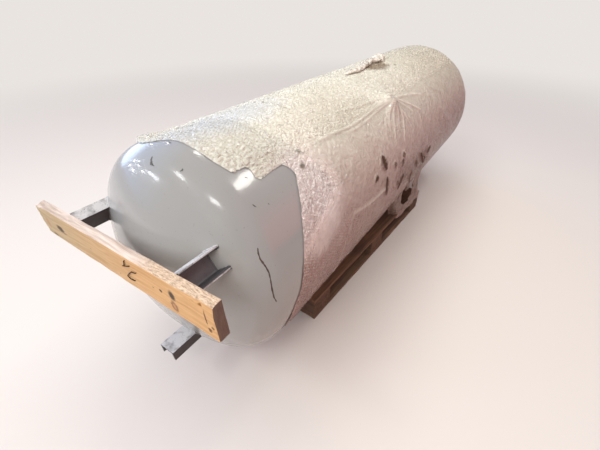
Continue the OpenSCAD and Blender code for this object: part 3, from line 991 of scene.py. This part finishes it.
def dome_field(
    name, centres, ways, sizes, cover=None, radius=bubble_radius, height=bubble_height,
    material=bubble_plastic,
):
    """Grows one dome on each centre, standing in its way, as one plain mesh."""
    field = mesh_piece(name, centres, [], material)
    way = field.data.attributes.new("facing", "FLOAT_VECTOR", "POINT")
    way.data.foreach_set("vector", np.asarray(ways, np.float32).ravel())
    store(field, "swell", sizes)
    if cover is not None:
        store(field, "cover", cover)
    return grow(field, dome_tree, Dome_radius=radius, Dome_height=height, Film=material)


bubble_runs, bubble_turns = [], []
row_run, row = -0.085, 0
while row_run < shell_l + head_run - 0.05:
    count = round(2 * math.pi * float(meridian(row_run)[1]) / bubble_pitch)
    step = 360 / count
    bubble_runs += [row_run] * count
    bubble_turns += [-90 + (k + 0.5 * (row % 2)) * step for k in range(count)]
    row_run += bubble_pitch * math.sqrt(3) / 2
    row += 1
bubble_runs, bubble_turns = np.array(bubble_runs), np.array(bubble_turns)
wobble = np.random.default_rng(17)
on_flank = (bubble_turns > 152) & (bubble_turns < 205)
on_ridge = (bubble_turns > 70) & (bubble_turns < 100) & (bubble_runs < 0.8)
slackness = np.where(on_ridge, 0.3, np.where(on_flank, 0.25, 1.0))
bubble_runs = bubble_runs + slackness * wobble.normal(0, 0.0024, len(bubble_runs))
bubble_turns = bubble_turns + slackness * wobble.normal(0, 0.30, len(bubble_turns))
bubble_runs = bubble_runs + 0.010 * np.sin(np.radians(bubble_turns) * 5 + bubble_runs * 6)
bubble_runs = bubble_runs + 0.005 * np.sin(np.radians(bubble_turns) * 13 - bubble_runs * 17)
bubble_turns = bubble_turns + 1.1 * np.sin(bubble_runs * 14 + np.radians(bubble_turns) * 3)
bubble_turns = drawn_aside(bubble_runs, bubble_turns)
undrawn = 2 * bubble_turns - drawn_aside(bubble_runs, bubble_turns)
kept = bubble_runs > edge_run(near_edge, undrawn) + 0.006
bubble_seat = film_lift(bubble_runs, bubble_turns)
bubble_room = room_under(bubble_runs, bubble_turns, meridian(bubble_runs)[1])
kept = kept & (bubble_room - bubble_seat > 0.007)
swell = np.clip(wobble.normal(1.0, 0.2, len(bubble_runs)), 0.5, 1.35)
crushed = crumple(bubble_runs * 1.7 + 0.4, bubble_turns * 2.0, 0.06)
burst = wobble.random(len(bubble_runs)) < 0.04 + 0.5 * (crushed > 0.60)
swell = np.where(burst, 0.45, swell)
bubble_cover = 0.62 + 0.30 * under_laps(bubble_runs, bubble_turns)
for name, part in (
    ("bubbles_right", (bubble_turns >= 90) & (bubble_runs <= shell_l)),
    ("bubbles_left", (bubble_turns < 90) & (bubble_runs <= shell_l)),
    ("bubbles_far_end", bubble_runs > shell_l),
):
    chosen = kept & part
    run, turn = bubble_runs[chosen], bubble_turns[chosen]
    near_by = 0.004
    turned_by = np.degrees(near_by / shell_r)
    centre = on_vessel(run, turn, bubble_seat[chosen])
    along = on_vessel(run + near_by, turn, film_lift(run + near_by, turn)) - centre
    around = on_vessel(run, turn + turned_by, film_lift(run, turn + turned_by)) - centre
    normal = np.cross(around, along)
    normal = normal / np.linalg.norm(normal, axis=1)[:, None]
    normal = np.where((normal * facing(run, turn)).sum(1)[:, None] < 0, -normal, normal)
    normal = normal + wobble.normal(0, 0.12, normal.shape)
    field = dome_field(name, centre, normal, swell[chosen], bubble_cover[chosen])
    settle(field, "bubble_film")

# ---- Stretch film ----
# Clear stretch film, 20 micrometres thick, wound over the bubble film in many laps. It is tight
# and glossy, hides most of the bubbles, and starts in a crumpled edge behind the near head.
stretch_plastic = bubble_plastic.copy()
stretch_plastic.name = "clear_stretch_film"
stretch_plastic.node_tree.nodes["Principled BSDF"].inputs["Roughness"].default_value = 0.10
for node in stretch_plastic.node_tree.nodes:
    if node.type == "BUMP":
        node.inputs["Strength"].default_value = 0.65
skin_run, skin_turn = film_grid(
    outer_edge, columns=318, rows=305, side_times=2.0, until=0.52, times=2.2
)
from_edge = skin_run - edge_run(outer_edge, skin_turn)
skin_turn = drawn_aside(skin_run, skin_turn)
stretch_lift = film_lift(skin_run, skin_turn) + 0.0052
stretch_lift = stretch_lift + 0.0016 * crumple(skin_run * 2.3, skin_turn * 2.0, 0.06)
stretch_lift = stretch_lift - 0.0030 * np.exp(-((from_edge / 0.012) ** 2))
stretch_room = room_under(skin_run, skin_turn, meridian(skin_run)[1])
stretch_lift = np.minimum(stretch_lift, np.maximum(stretch_room * 0.8, 2 * film_t))
stretch_lift = stretch_lift + np.where(skin_turn < -90, film_t / 2, 0.0)
lap_points = on_vessel(skin_run, skin_turn, stretch_lift).reshape(-1, 3)
stretch_film = mesh_piece("stretch_film", lap_points, grid_faces(*skin_run.shape), stretch_plastic)
# Few laps lie along the ridge and many on the flanks, fewer again on the right behind the head.
# The film has whitened along its drawn creases.
many_laps = np.clip((np.abs(skin_turn - 90) - 34) / 8, 0, 1) * np.clip(from_edge / 0.10, 0, 1)
whitened = np.zeros(skin_run.shape)
drawn_creases = creases[:20]
for path, first, last, width in drawn_creases:
    gap, share = near_line(skin_run, skin_turn, path)
    near_apex = (0.35 + 0.65 * (1 - share)) * min(1.0, first / 0.008)
    whitened = np.maximum(whitened, near_apex * np.exp(-((gap / width) ** 2)))
store(stretch_film, "whitened", whitened)
seen_through = np.exp(-(((skin_run - 0.35) / 0.30) ** 2) - ((skin_turn - 178) / 22) ** 2)
laps = 0.10 + (0.50 - 0.22 * seen_through) * many_laps + 0.35 * whitened
laps = np.minimum(laps + 0.22 * crumple(skin_run, skin_turn, 0.05), 0.97)
store(stretch_film, "cover", laps)
settle(stretch_film, "bubble_film")

# ---- Fold on the ridge ----
# The end of the bubble film, rolled up by hand into a slack roll along the ridge and held down
# by the stretch film. Its camera side undercuts into a dark crevice. The rows of ridge are its
# run, turn, half width and height.
ridge = [(1.115, 91.6, 0.003, 0.001), (1.150, 92.6, 0.012, 0.008), (1.208, 93.6, 0.018, 0.013),
         (1.264, 93.2, 0.020, 0.014), (1.327, 91.9, 0.022, 0.015), (1.414, 89.2, 0.023, 0.016),
         (1.470, 88.4, 0.022, 0.017), (1.516, 88.2, 0.024, 0.018), (1.545, 89.0, 0.034, 0.019),
         (1.590, 88.6, 0.038, 0.022), (1.640, 87.8, 0.034, 0.027), (1.680, 87.2, 0.026, 0.020),
         (1.710, 86.8, 0.012, 0.008), (1.730, 86.6, 0.003, 0.001)]
roll_runs = np.linspace(ridge[0][0], ridge[-1][0], 130)
roll_turn, roll_wide, roll_high = (
    np.interp(roll_runs, [r[0] for r in ridge], [r[k] for r in ridge]) for k in (1, 2, 3)
)
roll_angles = np.linspace(-0.75, math.pi + 0.75, 44)
roll_points = []
for i, run in enumerate(roll_runs):
    rough = 0.10 * np.sin(run * 37 + 2 * roll_angles) + 0.07 * np.sin(run * 83 - 3 * roll_angles)
    rough = 1 + rough + 0.32 * (crumple(run * 6, roll_angles * 60.0, 0.05) - 0.45)
    out = np.cos(roll_angles) * 1.12 * roll_wide[i] * rough
    up = np.maximum((0.35 + np.sin(roll_angles)) * 0.85 * roll_high[i] * rough, 0.0005)
    seat = film_lift(run, roll_turn[i]) + 0.006
    roll_points.append(on_vessel(run, roll_turn[i] + np.degrees(out / shell_r), seat + up))
roll_points = np.array(roll_points)
film_fold = mesh_piece(
    "film_top_fold",
    roll_points.reshape(-1, 3),
    grid_faces(len(roll_runs), len(roll_angles)),
    bubble_plastic,
)
for name, amount in (("cover", 0.92), ("whitened", 0.85)):
    store(film_fold, name, [amount] * len(film_fold.data.vertices))
settle(film_fold, "bubble_film")
roll_normals = np.cross(np.gradient(roll_points, axis=1), np.gradient(roll_points, axis=0))
roll_normals = roll_normals / (np.linalg.norm(roll_normals, axis=2)[..., None] + 1e-9)
# Its bubbles sit on every third ring of the roll and every fourth place round it, staggered.
chosen = [
    (i, j)
    for i in range(6, len(roll_runs) - 6, 3)
    for j in range(5 + 2 * (i // 3 % 2), len(roll_angles) - 4, 4)
]
rows, columns = (np.array(each) for each in zip(*chosen))
fold_bubbles = dome_field(
    "film_fold_bubbles",
    roll_points[rows, columns],
    roll_normals[rows, columns],
    wobble.uniform(0.6, 1.15, len(chosen)),
    [0.85] * len(chosen),
)
settle(fold_bubbles, "bubble_film")

# ---- Slits ----
# Where the outer laps are torn or gape, their shadow and dirt are painted: narrow dark leaves
# lying on the film, within raised lips and a wider halo of paler painted shade.
gapes = []
for name, colour, shown in (
    ("shade_in_slack_film", "#8C7468", 0.55), ("dirt_in_torn_film", "#5A4237", 0.92)
):
    made, tree, shader, _ = start_finish(
        name, Roughness=0.85, Specular_IOR_Level=0.1, Base_Color=linear(colour)
    )
    fade = add(tree, "ShaderNodeAttribute", attribute_name="cover").node.outputs["Fac"]
    lay_on(shader, Alpha=add(tree, "ShaderNodeMath", {0: fade, 1: shown}, operation="MULTIPLY"))
    gapes.append(made)
shade, shadow_and_dirt = gapes
# Each gape is a halo of paler painted shade, with a dark painted slit of shadow and dirt on it.
for number, (path, widths, is_dark) in enumerate(slits, 1):
    for name, times, more, material, height in (
        ("hollow_shade", 3.0, 0.004, shade, 0.0074),
        ("slit", 1.55, 0.0, shadow_and_dirt if is_dark else shade, 0.0082),
    ):
        fleck(
            f"film_{name}_{number}", path, [times * width + more for width in widths], material,
            lambda run, turn: film_lift(run, turn) + height, "bubble_film",
        )

# ---- Film lashed to the pallet ----
# The last laps of stretch film run down from both flanks to the edge of the pallet's deck, are
# drawn over it and cling to its side, so that vessel and pallet hold together.
lashing_plastic = bubble_plastic.copy()
lashing_plastic.name = "clear_stretch_film_gathered"
tree = lashing_plastic.node_tree
shader = tree.nodes["Principled BSDF"]
clean = shader.inputs["Base Color"].links[0].from_socket
# The gathered film's colour is mixed half way to a brown tone.
brown_mixed = add(tree, "ShaderNodeMix", {0: 0.55, 6: clean, 7: linear("#93796C")}, data_type="RGBA")
lay_on(shader, Base_Color=brown_mixed)
deck_middle = sum((Vector(corner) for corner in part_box("block_middle_middle")), Vector()) / 2
pallet_yaw = math.radians(-3)
pallet_middle = Vector((deck_middle.x, deck_middle.y, 0))
pallet_place = Matrix.Translation(pallet_middle) @ Matrix.Rotation(pallet_yaw, 4, "Z")
pallet_l, pallet_w, block_h = 1.4, 0.8, 0.078
board_t, board_wide, board_narrow = 0.022, 0.145, 0.1
# Shares of a lashing's depth at which it leaves the flank and meets the deck's edge
leaves, lands = 0.35, 0.86


def lashing(name, side, seed, slackness, holes):
    """One side's film: side is -1 right, 1 left; slackness scales its folds; holes are ellipses
    of the sheet, 0 to 1 across and down, with their half sizes and their slant."""
    phases = np.random.default_rng(seed).uniform(0, 6.28, 8)
    u, v = np.meshgrid(np.linspace(0, 1, 170), np.linspace(0, 1, 90), indexing="ij")
    on_flank = np.clip(v / leaves, 0, 1)
    turn = 160 + 8 * u + (179 + 21 * u - 160 - 8 * u) * on_flank
    run = 0.925 + 0.600 * u + 0.010 * np.sin(v * 9)
    seat = film_lift(run, turn) + 0.0070
    flank = on_vessel(run, turn if side < 0 else 180 - turn, seat)
    edge_x = 0.245 + 0.430 * u
    edge_y = side * (pallet_w / 2 + 0.003 - 0.050 * np.exp(-((u / 0.07) ** 2)))
    ragged = 0.006 * np.sin(u * 17 + phases[0]) + 0.003 * np.sin(u * 61 + phases[1])
    turned = np.array(pallet_place)[:3, :3]
    edge, hem = (
        np.stack([edge_x, y, z], -1) @ turned.T + np.array(pallet_middle)
        for y, z in (
            (edge_y, np.full_like(u, deck_top + 0.003)),
            (edge_y + side * 0.002, deck_top - 0.040 + ragged),
        )
    )
    middle = np.clip((v - leaves) / (lands - leaves), 0, 1)[..., None]
    last = np.clip((v - lands) / (1 - lands), 0, 1)[..., None]
    points = flank * (1 - middle) + edge * middle
    points = np.where(v[..., None] > lands, edge * (1 - last) + hem * last, points)
    free = np.sin(np.pi * middle[..., 0])
    waves = [(0.0060, 31), (0.0040, 57), (0.0028, 93), (0.0018, 151)]
    folds = sum(
        height * np.sin(u * rate + phases[k] + 1.5 * np.sin(v * 3 + phases[7 - k]))
        for k, (height, rate) in enumerate(waves)
    )
    folds = slackness * folds * (0.12 + free) * np.minimum(on_flank * 1.2, 1)
    points[..., 1] += side * folds
    points[..., 1] -= side * 0.010 * free
    across, down = (u[:-1, :-1] + u[1:, 1:]) / 2, (v[:-1, :-1] + v[1:, 1:]) / 2
    keep = np.ones(across.shape, bool)
    for at_u, at_v, half_u, half_v, slant in holes:
        off_u = (across - at_u - slant * (down - at_v)) / half_u
        keep &= off_u**2 + ((down - at_v) / half_v) ** 2 > 1
    faces = grid_faces(*u.shape, keep=keep)
    if side > 0:
        faces = [f[::-1] for f in faces]
    made = mesh_piece(name, points.reshape(-1, 3), faces, lashing_plastic)
    thin_edge = np.clip(np.minimum(u, 1 - u) / 0.10, 0.15, 1)
    thin_edge = thin_edge + (1 - thin_edge) * np.clip((v - 0.25) / 0.15, 0, 1)
    store(made, "cover", 0.80 * np.clip((v - 0.06) / 0.32, 0, 1) * thin_edge)
    fixed = bmesh.new()
    fixed.from_mesh(made.data)
    loose = [vert for vert in fixed.verts if not vert.link_faces]
    bmesh.ops.delete(fixed, geom=loose, context="VERTS")
    fixed.to_mesh(made.data)
    fixed.free()
    return settle(made, "bubble_film")


right_lashing = lashing(
    "film_lashing_right", -1, 4, 1.0,
    [(0.46, 0.66, 0.22, 0.14, -0.30), (0.33, 0.50, 0.060, 0.15, -0.45),
     (0.62, 0.48, 0.050, 0.11, -0.20), (0.14, 0.56, 0.020, 0.10, -0.20)],
)
left_lashing = lashing("film_lashing_left", 1, 9, 0.45, [(0.45, 0.55, 0.012, 0.1, 0.0)])

# ---- Pallet ----
# A used four-way transport pallet of rough-sawn spruce: five deck boards on three cross boards,
# nine blocks and three bottom boards, nailed. It has gone brown with dirt and damp, and its
# wood is painted darker still as shade.
block_xs = [(board_wide - pallet_l) / 2, 0.0, (pallet_l - board_wide) / 2]
side_y = (pallet_w - board_narrow) / 2
wides = [board_wide, board_narrow, board_wide, board_narrow, board_wide]
deck_gap = (pallet_w - 3 * board_wide - 2 * board_narrow) / 4
deck_ys = [-(pallet_w - board_wide) / 2, -(board_wide + board_narrow) / 2 - deck_gap, 0.0]
deck_ys += [-deck_ys[1], -deck_ys[0]]


def spruce(name, stretch, pale, dark):
    """Rough-sawn spruce, darkened partly by painted shade: streaks 5 to 20 mm apart along the
    board, and stains.
    """
    made, tree, shader, place = start_finish(name, Roughness=0.85, Specular_IOR_Level=0.25)
    turned = add(tree, "ShaderNodeMapping", {"Vector": place, "Rotation": (0, 0, -pallet_yaw)})
    drawn = add(tree, "ShaderNodeMapping", {"Vector": turned, "Scale": stretch})
    grain = add(
        tree,
        "ShaderNodeTexNoise",
        {"Vector": drawn, "Scale": 1.0, "Detail": 6.0, "Roughness": 0.65},
    )
    stain = add(tree, "ShaderNodeTexNoise", {"Vector": place, "Scale": 5.0, "Detail": 4.0})
    streaks, stains = (
        add(
            tree,
            "ShaderNodeMapRange",
            {"Value": value, "From Min": low, "From Max": high, "To Max": most},
        )
        for value, low, high, most in ((grain, 0.35, 0.65, 1.0), (stain, 0.45, 0.7, 0.65))
    )
    tone = linear(pale)
    for share, colour in ((streaks, dark), (stains, "#56443B")):
        tone = add(tree, "ShaderNodeMix", {0: share, 6: tone, 7: linear(colour)}, data_type="RGBA")
    relief = add(tree, "ShaderNodeBump", {"Height": grain, "Strength": 0.7, "Distance": 0.0016})
    lay_on(shader, Base_Color=tone, Normal=relief)
    return made


# Both tones are darker than the wood's own brown by painted shade.
along_wood = spruce("dirty_spruce_lengthways", (3.0, 70.0, 70.0), "#84654F", "#5D483B")
across_wood = spruce("dirty_spruce_crossways", (70.0, 3.0, 70.0), "#7A5D4C", "#554238")
rows = ((-side_y, "right", board_narrow), (0.0, "middle", board_wide),
        (side_y, "left", board_narrow))
pallet_parts = [
    (f"deck_board_{i}", (0.0, y, deck_top - board_t / 2), (pallet_l, wide, board_t), along_wood)
    for i, (y, wide) in enumerate(zip(deck_ys, wides), 1)
]
for x, where in zip(block_xs, ("near", "middle", "far")):
    pallet_parts.append(
        (f"cross_board_{where}", (x, 0.0, deck_top - 1.5 * board_t),
         (board_wide, pallet_w, board_t), across_wood)
    )
    pallet_parts += [
        (f"block_{where}_{hand}", (x, y, board_t + block_h / 2), (board_wide, wide, block_h),
         across_wood)
        for y, hand, wide in rows
    ]
pallet_parts += [
    (f"bottom_board_{hand}", (0.0, y, board_t / 2), (pallet_l, wide, board_t), along_wood)
    for y, hand, wide in rows
]
for seed, (node, middle, size, wood) in enumerate(pallet_parts, 40):
    piece = timber(
        f"wood_{node}", size, pallet_place @ Matrix.Translation(middle), wood,
        rounding=0.0022, step=0.022, wear=0.0007, seed=seed,
    )
    settle(piece, "pallet_wood", node)

# The nails: flat heads 9 mm across, driven home, three at each crossing.
nail_iron = iron.copy()
nail_iron.name = "rusty_nail_heads"
nail_r, nail_h, nail_sunk = 0.0048, 0.0012, 0.0004
heads = [
    pallet_place @ Vector((x + off_x, y + share * wide, deck_top - nail_sunk))
    for y, wide in zip(deck_ys, wides)
    for x in block_xs
    for off_x, share in ((-0.045, -0.28), (0.045, 0.28), (0.012, -0.05))
]
nails = dome_field(
    "pallet_nails", heads, [(0, 0, 1)] * len(heads), [1.0] * len(heads),
    radius=nail_r, height=nail_h, material=nail_iron,
)
settle(nails, "leg_steel")

# ---- Floor and light ----
# Plain pale studio: a wide matt floor that turns to the backdrop's own tone far off, an even sky,
# a soft key above the left side and wide fills ahead. Small lamps make the reflections that the
# hall's strip lights, windows and bulbs make on the enamel.
backdrop_tone = linear("#E9E4E0")
floor_paint, tree, shader, place = start_finish(
    "pale_floor", Roughness=0.9, Specular_IOR_Level=0.2
)
paths = add(tree, "ShaderNodeLightPath").node.outputs
shown = paths["Is Camera Ray"]
for kind in ("Is Glossy Ray", "Is Transmission Ray"):
    shown = add(tree, "ShaderNodeMath", {0: shown, 1: paths[kind]}, operation="MAXIMUM")
floor_tone = add(
    tree, "ShaderNodeMix", {0: shown, 6: linear("#B5A498"), 7: linear("#E6DFD9")}, data_type="RGBA"
)
lay_on(shader, Base_Color=floor_tone)
away = add(tree, "ShaderNodeVectorMath", {0: place}, operation="LENGTH")
far_off = add(
    tree,
    "ShaderNodeMapRange",
    {"Value": away, "From Min": 2.2, "From Max": 7.5},
    interpolation_type="SMOOTHSTEP",
)
far_seen = add(
    tree, "ShaderNodeMath", {0: far_off, 1: paths["Is Camera Ray"]}, operation="MULTIPLY"
)
backdrop = add(tree, "ShaderNodeEmission", {"Color": backdrop_tone, "Strength": 1.0})
both = add(tree, "ShaderNodeMixShader", {0: far_seen, 1: shader.outputs[0], 2: backdrop})
tree.links.new(both, tree.nodes["Material Output"].inputs[0])
floor_r = 90.0
corners = [(x * floor_r, y * floor_r, 0) for x, y in ((-1, -1), (1, -1), (1, 1), (-1, 1))]
floor = mesh_piece("floor", corners, [(0, 1, 2, 3)], floor_paint)


def toward(azimuth, elevation):
    """The direction that lies at an azimuth and an elevation in degrees."""
    a, e = math.radians(azimuth), math.radians(elevation)
    return Vector((math.cos(a) * math.cos(e), math.sin(a) * math.cos(e), math.sin(e)))


# The hall's wide glows: azimuth, elevation, cosines where each is full and where it has died
# away, strength and colour.
world = bpy.data.worlds.new("studio_sky")
scene.world = world
world.use_nodes = True
tree = world.node_tree
sky = linear("#F4F1EE")
way = add(tree, "ShaderNodeTexCoord").node.outputs["Generated"]
for azimuth, elevation, inner, outer, strength, colour in (
    (-80, 10, 0.95, 0.10, 0.6, (1.0, 0.73, 0.69, 1)),
    (-50, 5, 0.985, 0.87, 0.9, (2.7, 0.9, 0.95, 1)),
    (92, 12, 0.97, 0.62, 0.9, (1.1, 1.6, 2.8, 1)),
    (84, 3, 0.985, 0.94, 0.95, (5.0, 6.4, 8.6, 1)),
):
    glow_way = toward(azimuth, elevation)
    nearness = add(tree, "ShaderNodeVectorMath", {0: way, 1: glow_way}, operation="DOT_PRODUCT")
    glow = add(
        tree,
        "ShaderNodeMapRange",
        {"Value": nearness, "From Min": outer, "From Max": inner, "To Max": strength},
        interpolation_type="SMOOTHSTEP",
    )
    sky = add(tree, "ShaderNodeMix", {0: glow, 6: sky, 7: colour}, data_type="RGBA")
brightness = 0.48
sky = add(tree, "ShaderNodeMix", {0: brightness, 6: (0, 0, 0, 1), 7: sky}, data_type="RGBA")
seen = add(tree, "ShaderNodeLightPath").node.outputs["Is Camera Ray"]
sky = add(tree, "ShaderNodeMix", {0: seen, 6: sky, 7: backdrop_tone}, data_type="RGBA")
tree.links.new(sky, tree.nodes["Background"].inputs[0])
scene.view_settings.view_transform = "Standard"


def lamp(name, azimuth, elevation, distance, width, height, radiance, colour, aim, seen=True):
    """Hangs a softbox in a direction from the vessel, facing it; radiance is its brightness, and
    seen says whether the gloss may mirror it."""
    way = toward(azimuth, elevation)
    data = bpy.data.lights.new(name, "AREA")
    data.shape = "RECTANGLE"
    data.size, data.size_y = width, height
    data.energy = radiance * math.pi * width * height
    data.color = linear(colour)[:3]
    made = bpy.data.objects.new(name, data)
    made.matrix_world = Matrix.Translation(aim + way * distance) @ (
        way.to_track_quat("Z", "Y").to_matrix().to_4x4()
    )
    made.visible_glossy = seen
    scene.collection.objects.link(made)


# Each softbox: azimuth and elevation in degrees, distance, width and height in metres, radiance,
# colour, and the place that it lights.
shell_place = axis + Vector((0.80, 0.0, 0.3))
head_place = axis + Vector((-0.03, -0.1, 0.38))
lamp("key_above", 60, 76, 2.6, 2.4, 1.6, 2.6, "#FFFDF8", shell_place, False)
lamp("fill_ahead", -168, 26, 7.0, 4.5, 3.0, 3.8, "#FFFEFC", head_place, False)
lamp("fill_over_plank", 168, 48, 6.5, 3.2, 2.2, 4.5, "#FFFEFC", head_place, False)
lamp("strip_ahead", -22, 49, 7.0, 1.35, 0.7, 16.0, "#FFFDF6", head_place)
lamp("strip_left", 38, 45, 7.0, 1.0, 0.6, 11.0, "#FFFDF6", head_place)
lamp("strip_behind", 144, 51, 7.0, 1.4, 0.7, 13.0, "#FFFFFF", head_place)
lamp("strip_right", -150, 54, 7.0, 1.5, 0.8, 14.0, "#FFFFFF", head_place)
lamp("window_back_left", 130, 17, 8.0, 1.6, 0.6, 11.0, "#F4F7FF", head_place)
for number, (azimuth, elevation) in enumerate(
    [(103, 13), (107, 18), (106, 7), (113, 14), (113, 6), (121, 12), (75, 21), (63, 27)], 1
):
    lamp(f"bulb_{number}", azimuth, elevation, 6.8, 0.22, 0.22, 22.0, "#FFFFFF", head_place)
sun = bpy.data.lights.new("even_sun", "SUN")
sun.energy, sun.angle = 0.30, math.radians(60)
even_sun = bpy.data.objects.new("even_sun", sun)
even_sun.visible_glossy = False
scene.collection.objects.link(even_sun)
